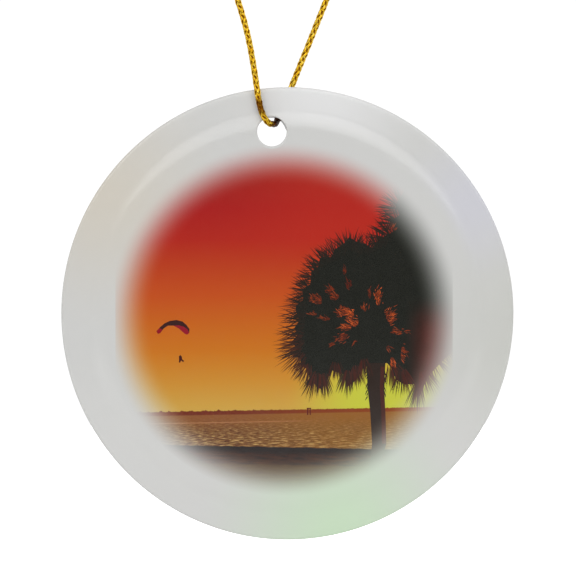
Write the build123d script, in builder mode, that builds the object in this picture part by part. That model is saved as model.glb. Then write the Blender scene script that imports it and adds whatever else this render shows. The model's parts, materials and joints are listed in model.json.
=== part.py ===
"""Round porcelain hanging ornament with a printed picture, on a loop of gold cord.

Millimetres. +Z is up, +X is to the right of the picture and +Y goes to the back.
The origin is the point inside the top of the loop where a hook holds the ornament,
so the disc hangs below it.
"""

import math
import os

from build123d import *

# Porcelain disc: a flat printed middle, a soft step down and a rim band with round edges.
DISC_DIAMETER = 73.0
DISC_THICKNESS = 3.2
DISC_DROP = 95.0  # from the origin down to the middle of the disc
PLATEAU_RADIUS = 29.6  # the flat middle of the front
SHOULDER_WIDTH = 3.4  # the S-shaped step from the flat middle to the rim band
SHOULDER_DROP = 0.22
BAND_FALL = 0.10  # how much further the rim band falls before its edge is rounded
FRONT_EDGE_RADIUS = 0.45
BACK_EDGE_RADIUS = 0.6

# Hanging hole, a little to the left of the picture's top.
HOLE_DIAMETER = 4.75
HOLE_EDGE_DISTANCE = 7.1  # from the hole's centre to the rim
HOLE_LEAN = 5.2  # degrees to the left of straight up
HOLE_LIP_RADIUS = 0.2  # glaze-softened edge of the hole, on both faces

# Printed film on the flat middle of the front.
FILM_RADIUS = 29.3
FILM_THICKNESS = 0.05
FILM_HOLE_MARGIN = 0.2  # bare glaze left round the hole's lip

# Cord loop: in front of the disc on the left, through the hole, up behind it on the right.
CORD_DIAMETER = 1.0
CORD_ROUTE = [
    (-0.8, -0.05, 1.0),
    (-1.35, -0.25, -2.0),
    (-4.6, -0.7, -6.6),
    (-10.8, -1.2, -13.4),
    (-14.2, -1.8, -22.2),
    (-13.0, -2.2, -31.6),
    (-9.75, -2.3, -40.0),
    (-6.8, -2.3, -48.8),
    (-5.47, -2.25, -56.0),
    (-4.84, -2.25, -60.8),
    (-4.2, -2.3, -63.15),
    (-3.2, -2.0, -64.5),
    (-2.4, -0.5, -64.45),
    (-1.95, 1.3, -64.4),
    (-1.6, 2.45, -63.5),
    (-0.4, 2.4, -60.8),
    (1.8, 2.35, -55.45),
    (5.2, 2.3, -47.0),
    (8.9, 2.3, -37.6),
    (12.4, 2.1, -28.2),
    (13.4, 1.6, -18.6),
    (9.2, 1.0, -10.2),
    (3.6, 0.5, -5.0),
    (1.3, 0.25, -1.7),
    (0.8, 0.05, 1.0),
]
ARC_SHARE = 0.45  # how much of the shorter run beside a corner its arc takes up

# Overhand knot that joins the two ends of the cord, and the two ends left above it.
KNOT_WIDTH = 4.0
KNOT_HEIGHT = 4.6
KNOT_BASE = 0.5  # height of its underside
TAIL_LENGTH = 9.0
TAIL_SPREAD = 11.0  # degrees from straight up, one to each side
TAIL_ROOT = 0.75  # distance of each root from the middle of the knot

disc_centre = Vector(0, 0, -DISC_DROP)
disc_radius = DISC_DIAMETER / 2
front = -DISC_THICKNESS / 2
back = DISC_THICKNESS / 2
hole_distance = disc_radius - HOLE_EDGE_DISTANCE
hole_centre = disc_centre + Vector(
    -hole_distance * math.sin(math.radians(HOLE_LEAN)),
    0,
    hole_distance * math.cos(math.radians(HOLE_LEAN)),
)
hole_plane = Plane(origin=hole_centre, x_dir=(1, 0, 0), z_dir=(0, -1, 0))


def export(part, name):
    """Labels a finished part and writes it as parts/name.step."""
    part.label = name
    export_step(part, f"parts/{name}.step")


def corner_radii(route):
    """The largest arc radius that the two runs beside each corner of a route allow."""
    radii = []
    for before, corner, after in zip(route, route[1:], route[2:]):
        run_in = Vector(*corner) - Vector(*before)
        run_out = Vector(*after) - Vector(*corner)
        half_turn = math.radians(run_in.get_angle(run_out)) / 2
        shorter = min(run_in.length, run_out.length)
        radii.append(ARC_SHARE * shorter / math.tan(half_turn))
    return radii


# Porcelain disc
shoulder_outer = PLATEAU_RADIUS + SHOULDER_WIDTH
shoulder_middle = (PLATEAU_RADIUS + SHOULDER_WIDTH / 2, front + SHOULDER_DROP / 2)
band_inner = (shoulder_outer, front + SHOULDER_DROP)
band_outer = (disc_radius, front + SHOULDER_DROP + BAND_FALL)

with BuildPart() as porcelain_disc:
    with BuildSketch(Plane(origin=disc_centre, x_dir=(1, 0, 0), z_dir=(0, 0, 1))) as section:
        with BuildLine():
            flat = Line((0, front), (PLATEAU_RADIUS, front))
            crest = TangentArc(flat @ 1, shoulder_middle, tangent=flat % 1)
            foot = TangentArc(crest @ 1, band_inner, tangent=crest % 1)
            band = Line(foot @ 1, band_outer)
            Polyline(band @ 1, (disc_radius, back), (0, back), (0, front))
        make_face()
        front_corner = section.vertices().sort_by(Axis.X)[-2:].sort_by(Axis.Y)[0]
        back_corner = section.vertices().sort_by(Axis.X)[-2:].sort_by(Axis.Y)[-1]
        fillet(front_corner, FRONT_EDGE_RADIUS)
        fillet(back_corner, BACK_EDGE_RADIUS)
    revolve(axis=Axis(disc_centre, (0, 1, 0)))
    with Locations(hole_plane):
        Hole(HOLE_DIAMETER / 2)
    bore = porcelain_disc.faces().filter_by(GeomType.CYLINDER).sort_by(SortBy.RADIUS)[0]
    fillet(bore.edges().filter_by(GeomType.LINE, reverse=True), HOLE_LIP_RADIUS)
export(porcelain_disc.part, "porcelain_disc")

# Printed film
film_plane = Plane(origin=disc_centre + Vector(0, front, 0), x_dir=(1, 0, 0), z_dir=(0, -1, 0))
with BuildPart() as picture_film:
    with BuildSketch(film_plane):
        Circle(FILM_RADIUS)
        with Locations(film_plane.to_local_coords(hole_centre)):
            Circle(HOLE_DIAMETER / 2 + HOLE_LIP_RADIUS + FILM_HOLE_MARGIN, mode=Mode.SUBTRACT)
    extrude(amount=FILM_THICKNESS)
export(picture_film.part, "picture_film")

# Cord loop
arc_radii = corner_radii(CORD_ROUTE)
with BuildPart() as hanging_cord:
    with BuildLine() as route_line:
        FilletPolyline(*CORD_ROUTE, radius=arc_radii)
    route = route_line.wires()[0]
    with BuildSketch(Plane(origin=route @ 0, z_dir=route % 0)):
        Circle(CORD_DIAMETER / 2)
    sweep(path=route)
export(hanging_cord.part, "hanging_cord")

# Knot
knot_middle = KNOT_BASE + KNOT_HEIGHT / 2
with BuildPart() as cord_knot:
    with BuildSketch(Plane.XZ):
        with Locations((0, knot_middle)):
            Ellipse(KNOT_WIDTH / 2, KNOT_HEIGHT / 2)
        with Locations((-KNOT_WIDTH, knot_middle)):
            Rectangle(2 * KNOT_WIDTH, 2 * KNOT_HEIGHT, mode=Mode.SUBTRACT)
    revolve(axis=Axis.Z)
export(cord_knot.part, "cord_knot")

# The two cut ends of the cord
with BuildPart() as cord_tails:
    for side in (-1, 1):
        lean = math.radians(TAIL_SPREAD) * side
        direction = (math.sin(lean), 0, math.cos(lean))
        with BuildSketch(Plane(origin=(side * TAIL_ROOT, 0, knot_middle), z_dir=direction)):
            Circle(CORD_DIAMETER / 2)
        extrude(amount=TAIL_LENGTH)
export(cord_tails.part, "cord_tails")

# Facts of the cord
cord_length = route.length
tube_volume = cord_length * math.pi * (CORD_DIAMETER / 2) ** 2
print("cord length", round(cord_length, 1))
print("arc radii", [round(radius, 1) for radius in arc_radii])
print("tube volume", round(hanging_cord.part.volume, 2), "expected", round(tube_volume, 2))
print("hole centre", hole_centre)
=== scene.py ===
"""Looks of the round porcelain ornament: the glazed disc, its printed picture and the gold braided cord.

Lengths named in millimetres are turned into the frame's metres with MM. +X is to the right of the
picture, +Y to the back of the disc and +Z up; the origin is the point where the loop is hung.
"""
import json
import math
import random

import bmesh
import bpy
import numpy as np
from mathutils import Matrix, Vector
from mathutils.geometry import delaunay_2d_cdt


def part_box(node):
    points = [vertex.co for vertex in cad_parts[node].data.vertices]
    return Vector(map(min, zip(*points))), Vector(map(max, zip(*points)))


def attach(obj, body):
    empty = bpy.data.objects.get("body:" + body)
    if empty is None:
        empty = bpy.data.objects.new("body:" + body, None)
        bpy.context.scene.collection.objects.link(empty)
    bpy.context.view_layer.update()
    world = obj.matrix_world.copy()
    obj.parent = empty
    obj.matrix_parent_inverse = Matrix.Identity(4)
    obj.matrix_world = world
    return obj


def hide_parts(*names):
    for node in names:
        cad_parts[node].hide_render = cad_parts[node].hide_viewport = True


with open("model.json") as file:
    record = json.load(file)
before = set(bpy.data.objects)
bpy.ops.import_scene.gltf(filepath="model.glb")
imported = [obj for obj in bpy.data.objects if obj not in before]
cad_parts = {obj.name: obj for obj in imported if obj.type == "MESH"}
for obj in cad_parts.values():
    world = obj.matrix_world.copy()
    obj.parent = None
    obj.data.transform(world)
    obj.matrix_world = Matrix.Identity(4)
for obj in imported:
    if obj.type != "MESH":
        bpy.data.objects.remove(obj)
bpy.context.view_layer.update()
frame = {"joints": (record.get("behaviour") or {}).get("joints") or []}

MM = 0.001
SCREEN_GAMMA = 2.2
SHEEN = 0.0115  # light that the glossy film mirrors from its surroundings

# ---------------------------------------------------------------- sizes taken from the frame
disc_low, disc_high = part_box("porcelain_disc")
film_low, film_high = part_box("picture_film")
DISC_RADIUS = (disc_high[2] - disc_low[2]) / 2 / MM
DISC_Z = (disc_high[2] + disc_low[2]) / 2 / MM
FRONT = disc_low[1] / MM
BACK = disc_high[1] / MM
FILM_RADIUS = (film_high[0] - film_low[0]) / 2 / MM
FILM_FRONT = film_low[1] / MM
HOLE = [value / MM for value in frame["joints"][0]["pos_m"]]
HOLE_X, HOLE_Z = HOLE[0], HOLE[2] - DISC_Z

# ---------------------------------------------------------------- the disc, in millimetres
HOLE_RADIUS = 2.375
LIP_RADIUS = 0.2
PLATEAU_RADIUS = 29.6
SHOULDER_WIDTH = 3.4
SHOULDER_DROP = 0.22
BAND_FALL = 0.10
FRONT_EDGE_RADIUS = 0.45
BACK_EDGE_RADIUS = 0.6

# ---------------------------------------------------------------- the cord, in metres
CORD_DIAMETER = 0.001
CORD_ROUTE = [
    (-0.0008, -0.00005, 0.0010),
    (-0.00135, -0.00025, -0.0020),
    (-0.0046, -0.0007, -0.0066),
    (-0.0108, -0.0012, -0.0134),
    (-0.0142, -0.0018, -0.0222),
    (-0.0130, -0.0022, -0.0316),
    (-0.00975, -0.0023, -0.0400),
    (-0.0068, -0.0023, -0.0488),
    (-0.00547, -0.00225, -0.0560),
    (-0.00484, -0.00225, -0.0608),
    (-0.0042, -0.0023, -0.06315),
    (-0.0032, -0.0020, -0.0645),
    (-0.0024, -0.0005, -0.06445),
    (-0.00195, 0.0013, -0.0644),
    (-0.0016, 0.00245, -0.0635),
    (-0.0004, 0.0024, -0.0608),
    (0.0018, 0.00235, -0.05545),
    (0.0052, 0.0023, -0.0470),
    (0.0089, 0.0023, -0.0376),
    (0.0124, 0.0021, -0.0282),
    (0.0134, 0.0016, -0.0186),
    (0.0092, 0.0010, -0.0102),
    (0.0036, 0.0005, -0.0050),
    (0.0013, 0.00025, -0.0017),
    (0.0008, 0.00005, 0.0010),
]
KNOT_BASE = 0.5  # millimetres above the origin
TAIL_LENGTH = 8.5
TAIL_SPREAD = 0.035  # how fast the two tails part, per millimetre squared
TAIL_LEAN = 0.3  # the share of that by which they part front to back

# The braid: flat bundles of yarn, half of them wound each way over a dark core, in millimetres.
LAY = 6.6  # the length in which a bundle goes round once
BUNDLES = 8
YARNS_IN_BUNDLE = 2
YARN_SPACING = 0.175
YARN_HALF_WIDTH = 0.094
YARN_HALF_THICKNESS = 0.055
YARN_SIDES = 8
YARN_WANDER = 0.05  # radians
YARN_UNEVEN = 0.012
BRAID_RADIUS = 0.415
BRAID_TURN = 6.0  # degrees about the cord's line
WEAVE = 0.06  # how far a bundle rises over the others and dives under them
CORE_RADIUS = 0.3
CORE_SIDES = 12
BRAID_STEP = 0.14
FRAYED_LENGTH = 1.6  # of the cut ends, whose yarns stand apart
FRAYED_RINGS = 4  # the most rings by which a yarn falls short of its cut end

# Camera: it looks along +Y, in millimetres and degrees.
CAMERA_DISTANCE = 420.0
CAMERA_AIM = (0.0, 0.0, -90.91)
CAMERA_AZIMUTH = -2.5
VIEW_WIDTH = 93.09
SENSOR_WIDTH = 36.0


# ================================================================ helpers

def new_object(name, mesh):
    """An object for a mesh or curve, in the scene's collection."""
    made = bpy.data.objects.new(name, mesh)
    bpy.context.scene.collection.objects.link(made)
    return made


def mesh_from(name, points_mm, faces, materials=()):
    """A smooth-shaded mesh object from points in millimetres."""
    mesh = bpy.data.meshes.new(name)
    mesh.from_pydata((np.asarray(points_mm, float) * MM).tolist(), [], faces)
    mesh.validate()
    mesh.polygons.foreach_set("use_smooth", [True] * len(mesh.polygons))
    for material in materials:
        mesh.materials.append(material)
    return new_object(name, mesh)


def ring_faces(rings, count, first=0):
    """Quads between rings of points that follow each other; each ring has the same count."""
    low = first + np.arange(rings - 1)[:, None] * count
    side = np.arange(count)
    after = (side + 1) % count
    quads = np.stack([low + side, low + after, low + count + after, low + count + side], axis=2)
    return quads.reshape(-1, 4).tolist()


def linear(red, green, blue):
    """A colour given as 0 to 255 screen values, as the shader's linear values."""
    values = []
    for value in (red, green, blue):
        share = value / 255
        values.append(share / 12.92 if share <= 0.04045 else ((share + 0.055) / 1.055) ** 2.4)
    return (*values, 1.0)


def inked(red, green, blue):
    """The ink that looks like a screen colour under the film's faint sheen."""
    return (*[max(value - SHEEN, 0.003) for value in linear(red, green, blue)[:3]], 1.0)


class Nodes:
    """Short calls for the nodes and links of one tree."""

    def __init__(self, tree):
        self.tree = tree

    def add(self, kind, **settings):
        """A new node, with its own settings."""
        node = self.tree.nodes.new(kind)
        for key, value in settings.items():
            setattr(node, key, value)
        return node

    def put(self, socket, value):
        """Links a socket to another one, or sets its value."""
        if isinstance(value, bpy.types.NodeSocket):
            self.tree.links.new(value, socket)
        else:
            socket.default_value = value

    def fill(self, node, values):
        """Puts values into a node's inputs, which are given by name."""
        for name, value in values.items():
            self.put(node.inputs[name], value)

    def feed(self, node, *values):
        """Puts values into a node's inputs, in their order."""
        for socket, value in zip(node.inputs, values):
            self.put(socket, value)

    def math(self, operation, first, second=0.0, third=0.0):
        node = self.add("ShaderNodeMath", operation=operation)
        self.feed(node, first, second, third)
        return node.outputs[0]

    def plus(self, first, second):
        return self.math("ADD", first, second)

    def minus(self, first, second):
        return self.math("SUBTRACT", first, second)

    def times(self, first, second):
        return self.math("MULTIPLY", first, second)

    def scaled(self, value, factor, start):
        """The value times the factor, added to the start."""
        return self.math("MULTIPLY_ADD", value, factor, start)

    def apart(self, first, second):
        """How far two values lie from each other."""
        return self.math("ABSOLUTE", self.minus(first, second))

    def smooth(self, value, low, high):
        """0 at low, 1 at high, with soft ends."""
        node = self.add("ShaderNodeMapRange", interpolation_type="SMOOTHSTEP")
        self.fill(node, {"Value": value, "From Min": low, "From Max": high})
        return node.outputs["Result"]

    def below(self, value, level, softness):
        """1 where the value is under the level, 0 over it, with a soft edge between."""
        return self.smooth(value, self.plus(level, softness), self.minus(level, softness))

    def mix(self, share, first, second):
        """The first colour where the share is 0, the second where it is 1."""
        node = self.add("ShaderNodeMix", data_type="RGBA")
        self.put(node.inputs["Factor"], share)
        for socket, value in (("A", first), ("B", second)):
            colour_socket = [s for s in node.inputs if s.name == socket and s.type == "RGBA"][0]
            self.put(colour_socket, value)
        return [s for s in node.outputs if s.type == "RGBA"][0]

    def mix_seen(self, share, first, second):
        """Mixes two colours evenly to the eye, as a printer's fade does."""
        seen = [self.gamma(colour, 1 / SCREEN_GAMMA) for colour in (first, second)]
        return self.gamma(self.mix(share, *seen), SCREEN_GAMMA)

    def gamma(self, colour, power):
        node = self.add("ShaderNodeGamma")
        self.fill(node, {"Color": colour, "Gamma": power})
        return node.outputs["Color"]

    def ramp(self, value, low, high, stops):
        """A colour by place: stops are (place, colour), between low and high."""
        share = self.add("ShaderNodeMapRange")
        self.fill(share, {"Value": value, "From Min": low, "From Max": high})
        node = self.add("ShaderNodeValToRGB")
        elements = node.color_ramp.elements
        elements.remove(elements[1])
        elements[0].position = (stops[0][0] - low) / (high - low)
        elements[0].color = stops[0][1]
        for place, colour in stops[1:]:
            elements.new((place - low) / (high - low)).color = colour
        self.put(node.inputs[0], share.outputs["Result"])
        return node.outputs["Color"]

    def noise(self, vector, scale, detail=2.0, roughness=0.5):
        node = self.add("ShaderNodeTexNoise")
        self.fill(node, {"Vector": vector, "Scale": scale, "Detail": detail, "Roughness": roughness})
        return node.outputs["Fac"]

    def attribute(self, name, output="Fac"):
        """What the mesh holds under a name."""
        return self.add("ShaderNodeAttribute", attribute_name=name).outputs[output]

    def bump(self, height, strength, distance):
        """Fine relief from a height of 0 to 1; the distance is its size in millimetres."""
        node = self.add("ShaderNodeBump")
        self.fill(node, {"Strength": strength, "Distance": distance * MM, "Height": height})
        return node.outputs[0]

    def vector(self, x, y, z):
        node = self.add("ShaderNodeCombineXYZ")
        self.feed(node, x, y, z)
        return node.outputs[0]


def new_material(name):
    """A material with one Principled shader, and its Nodes."""
    material = bpy.data.materials.new(name)
    material.use_nodes = True
    nodes = Nodes(material.node_tree)
    return material, nodes, material.node_tree.nodes["Principled BSDF"]


def place_on_disc(nodes):
    """The point being shaded, in millimetres from the middle of the disc, then its x, y and z."""
    coordinates = nodes.add("ShaderNodeTexCoord")
    scale = nodes.add("ShaderNodeVectorMath", operation="SCALE")
    nodes.fill(scale, {"Vector": coordinates.outputs["Object"], "Scale": 1 / MM})
    shift = nodes.add("ShaderNodeVectorMath", operation="SUBTRACT")
    nodes.feed(shift, scale.outputs[0], (0, 0, DISC_Z))
    split = nodes.add("ShaderNodeSeparateXYZ")
    nodes.feed(split, shift.outputs[0])
    return shift.outputs[0], *split.outputs


# ================================================================ camera

def make_camera():
    data = bpy.data.cameras.new("camera")
    data.sensor_width = SENSOR_WIDTH
    data.lens = SENSOR_WIDTH * CAMERA_DISTANCE / VIEW_WIDTH
    data.clip_start = 0.01
    data.clip_end = 20
    camera = new_object("camera", data)
    azimuth = math.radians(CAMERA_AZIMUTH)
    back = Vector((math.sin(azimuth), -math.cos(azimuth), 0))
    camera.location = (Vector(CAMERA_AIM) + back * CAMERA_DISTANCE) * MM
    camera.rotation_euler = (-back).to_track_quat("-Z", "Y").to_euler()
    bpy.context.scene.camera = camera


make_camera()


# ================================================================ cord

def evenly(line, step):
    """The line again, as points one step apart."""
    runs = np.linalg.norm(np.diff(line, axis=0), axis=1)
    along = np.concatenate([[0], np.cumsum(runs)])
    at = np.linspace(0, along[-1], int(round(along[-1] / step)) + 1)
    return np.stack([np.interp(at, along, line[:, axis]) for axis in range(3)], axis=1)


def unit(vectors):
    return vectors / np.linalg.norm(vectors, axis=-1, keepdims=True)


def side_vectors(line, start):
    """A direction across the line at each point, carried along without twisting."""
    tangents = unit(np.gradient(line, axis=0))
    across = np.zeros_like(line)
    side = np.asarray(start, float)
    for index, tangent in enumerate(tangents):
        side = side - tangent * side.dot(tangent)
        side = side / np.linalg.norm(side)
        across[index] = side
    return tangents, across


def route_line():
    """Points along the smooth line of the cord's route, in millimetres."""
    curve = bpy.data.curves.new("cord_route", "CURVE")
    curve.dimensions = "3D"
    spline = curve.splines.new("NURBS")
    spline.points.add(len(CORD_ROUTE) - 1)
    for point, place in zip(spline.points, CORD_ROUTE):
        point.co = (*place, 1)
    spline.order_u = 3
    spline.use_endpoint_u = True
    spline.resolution_u = 24
    carrier = bpy.data.objects.new("cord_route", curve)
    mesh = bpy.data.meshes.new_from_object(carrier)
    line = np.array([vertex.co for vertex in mesh.vertices]) / MM
    bpy.data.meshes.remove(mesh)
    bpy.data.curves.remove(curve)
    return line


# The knot is tied loosely as a curve, then pulled tight as strands of beads, in millimetres.
LOOSE_SIZE = (2.1, 1.7, 0.68)
LOOSE_END = 2.2  # the curve's number runs from minus this to this
KNOT_STEP = 0.5  # between beads
TIGHTENING = 420  # rounds of pulling
PASSES = 5  # of spacing, bending and pushing in each round
STIFFNESS = 0.1
KEPT_SPEED = 0.85
TOP_SPEED = 0.2
PUSH = 0.3
KNOTTED_REACH = 1.3  # strands nearer to each other than this belong to the knot
KNOTTED_ALONG = 4  # when they are at least this far from each other along the cord


def pull_tight(strands, width, rounds, pull):
    """Pulls the ends of strands of beads apart until the knot in them is tight."""
    count, length, _ = strands.shape
    strand_of = np.repeat(np.arange(count), length)
    place_of = np.tile(np.arange(length), count)
    near = round(1.4 * width / KNOT_STEP)
    touches = (strand_of[:, None] != strand_of) | (np.abs(place_of[:, None] - place_of) > near)
    speed = np.zeros_like(strands)
    for _ in range(rounds):
        before = strands.copy()
        strands = strands + speed * KEPT_SPEED
        strands[:, 0, 2] -= pull
        strands[:, -1, 2] += pull
        for _ in range(PASSES):
            for first in (0, 1):
                lower, upper = strands[:, first:-1:2], strands[:, first + 1::2]
                gap = upper - lower
                size = np.linalg.norm(gap, axis=2, keepdims=True)
                shift = gap * (1 - KNOT_STEP / size) / 2
                lower += shift
                upper -= shift
            middle = (strands[:, :-2] + strands[:, 2:]) / 2
            strands[:, 1:-1] += (middle - strands[:, 1:-1]) * STIFFNESS
            beads = strands.reshape(-1, 3)
            squares = (beads ** 2).sum(axis=1)
            apart = np.sqrt(np.maximum(squares[:, None] + squares - 2 * beads @ beads.T, 1e-9))
            push = np.where(touches & (apart < width), (width - apart) / apart * PUSH, 0)
            beads += beads * push.sum(axis=1)[:, None] - push @ beads
            strands = beads.reshape(count, length, 3)
        speed = strands - before
        size = np.linalg.norm(speed, axis=2, keepdims=True)
        speed *= np.minimum(1, TOP_SPEED / np.maximum(size, 1e-9))
    return strands


def overhand_knot():
    """The two strands of a doubled overhand knot, from bottom to top, in millimetres."""
    turn = np.linspace(-LOOSE_END, LOOSE_END, 800)
    curves = (turn ** 3 - 3 * turn, turn ** 4 - 4 * turn ** 2, turn ** 5 - 10 * turn)
    loose = np.stack([size * curve for size, curve in zip(LOOSE_SIZE, curves)], axis=1)
    width = CORD_DIAMETER / MM
    single = evenly(loose, KNOT_STEP)
    single = pull_tight(single[None], 1.75 * width, TIGHTENING, pull=0.1)[0]
    _, across = side_vectors(single, (1, 0, 0))
    pair = np.stack([single - across * width * 0.48, single + across * width * 0.48])
    pair = pull_tight(pair, width, TIGHTENING, pull=0.06)
    return set_upright(pair)


def set_upright(pair):
    """Turns and shifts the knot: its lower strands point up, side by side along X, from KNOT_BASE."""
    beads = pair.reshape(-1, 3)
    length = pair.shape[1]
    place_of = np.tile(np.arange(length), 2)
    apart = np.linalg.norm(beads[:, None] - beads, axis=2)
    crossing = np.abs(place_of[:, None] - place_of) > KNOTTED_ALONG / KNOT_STEP
    crossing &= apart < KNOTTED_REACH
    knotted = place_of[crossing.any(axis=1)]
    first, last = knotted.min() - 1, knotted.max() + 1
    up = unit((pair[:, first] - pair[:, first - 8]).mean(axis=0))
    right = pair[1, first] - pair[0, first]
    right = unit(right - up * right.dot(up))
    turn = np.stack([right, np.cross(up, right), up])
    start = pair[:, first].mean(axis=0)
    pair = (pair - start) @ turn.T + np.array([0, 0, KNOT_BASE - 0.3])
    return pair[:, first:], last - first


def tail_from(strand, last, side):
    """Cuts the strand's upper end to length and lets it lean outwards."""
    ends = last + int(TAIL_LENGTH / KNOT_STEP)
    strand = strand[:ends + 1].copy()
    past = np.maximum(np.arange(len(strand)) - last, 0) * KNOT_STEP
    strand[:, 0] += side * TAIL_SPREAD * past ** 2
    strand[:, 1] += TAIL_LEAN * side * TAIL_SPREAD * past ** 2
    return strand


LOOP_TRIM = 1.2  # cut off each end of the route, where the knot's strands take over
JOINT_POINTS = 12  # smoothed to each side of where they meet


def soften(line, low, high, rounds=30):
    """Smooths the stretch of a line between two of its points."""
    for _ in range(rounds):
        line[low:high] = (line[low - 1:high - 1] + 2 * line[low:high] + line[low + 1:high + 1]) / 4
    return line


def whole_cord():
    """The cord from one cut end to the other, and the places along it where its parts meet."""
    loop = route_line()
    (left, right), last = overhand_knot()
    left = evenly(tail_from(left, last, -1), BRAID_STEP)
    right = evenly(tail_from(right, last, 1), BRAID_STEP)
    loop = evenly(loop, BRAID_STEP)
    trim = int(LOOP_TRIM / BRAID_STEP)
    loop = loop[trim:-trim]
    line = evenly(np.concatenate([left[::-1], loop, right]), BRAID_STEP)
    for joint in (len(left), len(left) + len(loop)):
        line = soften(line, joint - JOINT_POINTS, joint + JOINT_POINTS)
    line = soften(line, 1, len(line) - 1, rounds=2)
    knot_points = int(last * KNOT_STEP / BRAID_STEP)
    marks = [0, len(left) - knot_points, len(left) - 2]
    marks += [len(line) - 1 - mark for mark in reversed(marks)]
    return line, marks


def tube_faces(rings, sides, first):
    """Faces of a closed tube of rings, with a cap on each end."""
    last_ring = first + (rings - 1) * sides
    caps = [list(reversed(range(first, first + sides))), list(range(last_ring, last_ring + sides))]
    return ring_faces(rings, sides, first) + caps


def yarn_rings(line, across, third, along, bundle, place, dice):
    """Rings of points of one flat yarn, and how deep each lies; place counts from its bundle's middle."""
    way = 1 if bundle % 2 == 0 else -1
    slant = math.atan(2 * math.pi * BRAID_RADIUS / LAY)
    offset = place * YARN_SPACING / (math.cos(slant) * BRAID_RADIUS)
    wander = YARN_WANDER * np.sin(along * dice.uniform(0.5, 1.1) + dice.uniform(0, 6))
    angle = way * 2 * math.pi * along / LAY + (bundle // 2) * 4 * math.pi / BUNDLES + offset + wander
    ends = np.minimum(along, along[-1] - along)
    loosened = 1 + 0.5 * np.clip(1 - ends / FRAYED_LENGTH, 0, 1) ** 2 * dice.uniform(0.4, 1.3)
    weave = way * np.cos(BUNDLES / 2 * (angle - offset))
    radius = (BRAID_RADIUS + WEAVE * weave) * loosened
    radius = radius + dice.uniform(-YARN_UNEVEN, YARN_UNEVEN)
    turned = angle + math.radians(BRAID_TURN)
    outward = np.cos(turned)[:, None] * across + np.sin(turned)[:, None] * third
    middle = line + outward * radius[:, None]
    forward = unit(np.gradient(middle, axis=0))
    sideways = unit(np.cross(forward, outward))
    around = np.linspace(0, 2 * math.pi, YARN_SIDES, endpoint=False)
    wide = np.cos(around) * YARN_HALF_WIDTH * dice.uniform(0.94, 1.06)
    thick = np.sin(around) * YARN_HALF_THICKNESS - wide ** 2 / (2.2 * BRAID_RADIUS)
    rings = (
        middle[:, None]
        + sideways[:, None] * wide[None, :, None]
        + outward[:, None] * thick[None, :, None]
    )
    return rings, (1 - weave) / 2


def braid_parts(line, seed):
    """The flat yarns and the core of the braid along a line, each as rings of points and depths."""
    tangents, across = side_vectors(line, (0, 1, 0))
    third = np.cross(tangents, across)
    along = np.arange(len(line)) * BRAID_STEP
    dice = random.Random(seed)
    yarns = [
        yarn_rings(line, across, third, along, bundle, place - (YARNS_IN_BUNDLE - 1) / 2, dice)
        for bundle in range(BUNDLES)
        for place in range(YARNS_IN_BUNDLE)
    ]
    around = np.linspace(0, 2 * math.pi, CORE_SIDES, endpoint=False)
    core = (
        line[:, None]
        + CORE_RADIUS * np.cos(around)[None, :, None] * across[:, None]
        + CORE_RADIUS * np.sin(around)[None, :, None] * third[:, None]
    )
    return [*yarns, (core, np.ones(len(line)))]


def braid_piece(name, strands, stretches, materials, cut_ends=()):
    """One piece of the cord: stretches of the braid, each from a first ring to a last one."""
    points, depths, faces, material_of = [], [], [], []
    count = 0
    core_rings = strands[-1][0]
    dice = random.Random(name)
    for first, last in stretches:
        for rings, depth in strands:
            is_core = rings is core_rings
            low, high = first, last
            if first in cut_ends:
                low = first + (FRAYED_RINGS + 1 if is_core else dice.randint(0, FRAYED_RINGS))
            if last in cut_ends:
                high = last - (FRAYED_RINGS + 1 if is_core else dice.randint(0, FRAYED_RINGS))
            part = rings[low:high + 1]
            rings_in_part, sides = part.shape[:2]
            added = tube_faces(rings_in_part, sides, count)
            points.append(part.reshape(-1, 3))
            depths.append(np.repeat(depth[low:high + 1], sides))
            faces += added
            material_of += [1 if is_core else 0] * len(added)
            count += rings_in_part * sides
    piece = mesh_from(name, np.concatenate(points), faces, materials)
    piece.data.polygons.foreach_set("material_index", material_of)
    layer = piece.data.attributes.new("yarn_depth", "FLOAT", "POINT")
    layer.data.foreach_set("value", np.concatenate(depths))
    return piece


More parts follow.
